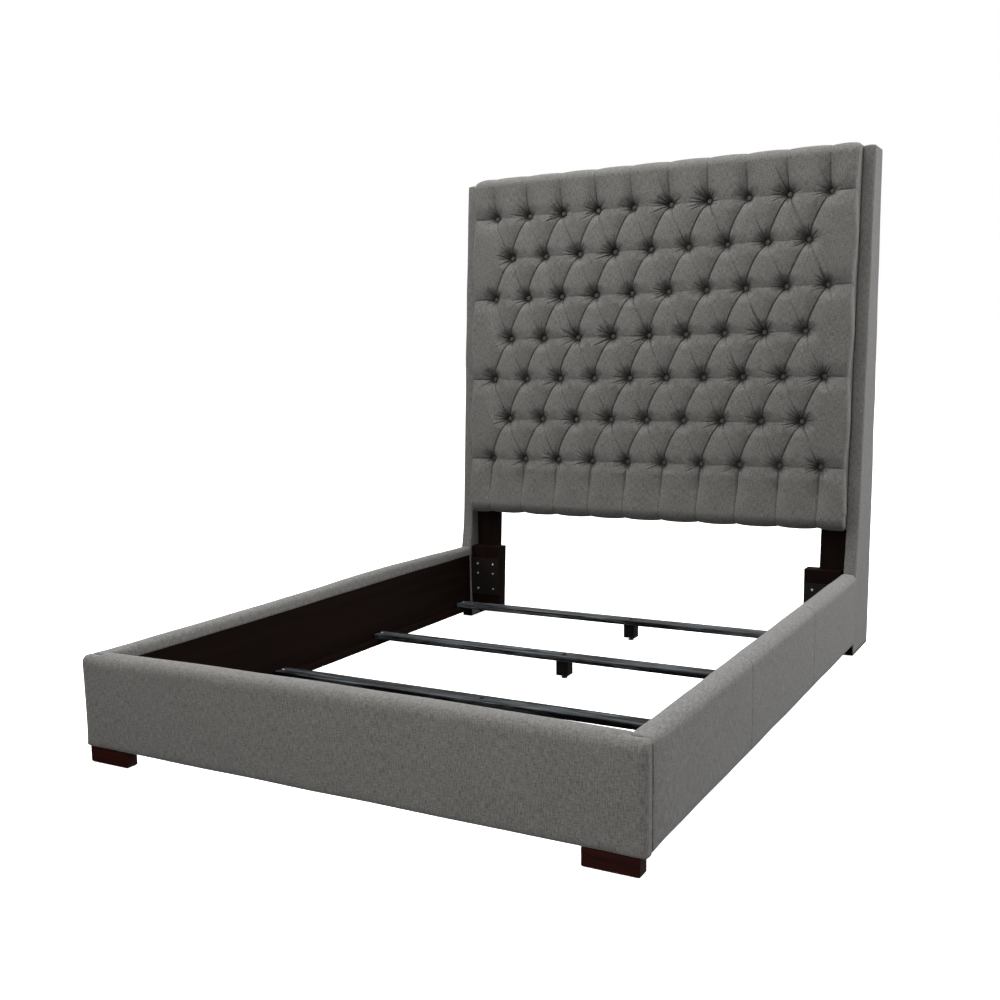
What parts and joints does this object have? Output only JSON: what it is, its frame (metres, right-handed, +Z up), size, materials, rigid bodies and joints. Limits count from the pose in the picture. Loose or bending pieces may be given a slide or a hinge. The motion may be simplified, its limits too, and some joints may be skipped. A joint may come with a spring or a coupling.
{
  "type": "upholstered headboard bed",
  "caption": "Bed frame with a tall button-tufted upholstered headboard between wings, low padded rails and footboard, slats with centre legs.",
  "frame": {"origin": "on the floor under the middle of the bed's overall box", "axes": "+X to the right seen from the foot end, +Y towards the headboard, +Z up"},
  "size_m": [1.676, 2.33, 1.862],
  "materials": {
    "linen_upholstery": "mid-grey linen-look plain weave with fine slubs, matt",
    "black_stained_wood": "near-black brown stain, low sheen",
    "espresso_wood": "espresso red-brown stain, satin lacquer",
    "painted_slat_wood": "softwood with a thin blue-black paint, grain showing, dull satin",
    "frame_wood": "raw pine and plywood, unfinished, hidden inside",
    "black_steel": "black powder coat, fine texture",
    "zinc_plated_steel": "bright zinc plate",
    "brass_insert": "plain brass",
    "black_plastic": "matt black nylon",
    "felt_pad": "brown wool felt"
  },
  "bodies": {
    "bed": {"side_rail_cover_left": "linen_upholstery", "side_rail_cover_right": "linen_upholstery", "footboard_cover": "linen_upholstery", "wing_cover_left": "linen_upholstery", "wing_cover_right": "linen_upholstery", "tufted_panel": "linen_upholstery", "tufted_top_roll": "linen_upholstery", "tuft_buttons": "linen_upholstery", "headboard_back_cover": "linen_upholstery", "headboard_post_left": "black_stained_wood", "headboard_post_right": "black_stained_wood", "leg_block_left": "black_stained_wood", "leg_block_right": "black_stained_wood", "wing_cheek_left": "black_stained_wood", "wing_cheek_right": "black_stained_wood", "side_rail_board_left": "black_stained_wood", "side_rail_board_right": "black_stained_wood", "footboard_inner_board": "black_stained_wood", "slat_cleat_left": "black_stained_wood", "slat_cleat_right": "black_stained_wood", "front_foot_left": "espresso_wood", "front_foot_right": "espresso_wood", "slat_front": "painted_slat_wood", "slat_middle": "painted_slat_wood", "slat_back": "painted_slat_wood", "centre_leg_front": "painted_slat_wood", "centre_leg_middle": "painted_slat_wood", "centre_leg_back": "painted_slat_wood", "headboard_crossrail_bottom": "frame_wood", "headboard_crossrail_middle": "frame_wood", "headboard_crossrail_top": "frame_wood", "headboard_centre_stile": "frame_wood", "tufting_board": "frame_wood", "headboard_top_board": "frame_wood", "headboard_bottom_board": "frame_wood", "headboard_back_panel": "frame_wood", "footboard_panel": "frame_wood", "wing_core_left": "frame_wood", "wing_core_right": "frame_wood", "headboard_slot_plate_left": "black_steel", "headboard_slot_plate_right": "black_steel", "rail_hook_plate_left": "black_steel", "rail_hook_plate_right": "black_steel", "corner_bracket_left": "black_steel", "corner_bracket_right": "black_steel", "slot_plate_screws": "zinc_plated_steel", "slat_screws": "zinc_plated_steel", "centre_leg_bolts": "zinc_plated_steel", "corner_bracket_bolts": "zinc_plated_steel", "front_foot_bolts": "zinc_plated_steel", "leveller_inserts": "brass_insert", "wing_base_left": "black_plastic", "wing_base_right": "black_plastic", "front_foot_pads": "felt_pad"},
    "front_leveller": {"leveller_front": "black_plastic"},
    "middle_leveller": {"leveller_middle": "black_plastic"},
    "back_leveller": {"leveller_back": "black_plastic"}
  },
  "joints": [
    {"name": "front_leveller_height", "type": "slide", "parent": "bed", "child": "front_leveller", "axis": [0, 0, -1], "range_m": [-0.005, 0.01]},
    {"name": "middle_leveller_height", "type": "slide", "parent": "bed", "child": "middle_leveller", "axis": [0, 0, -1], "range_m": [-0.005, 0.01]},
    {"name": "back_leveller_height", "type": "slide", "parent": "bed", "child": "back_leveller", "axis": [0, 0, -1], "range_m": [-0.005, 0.01]}
  ]
}
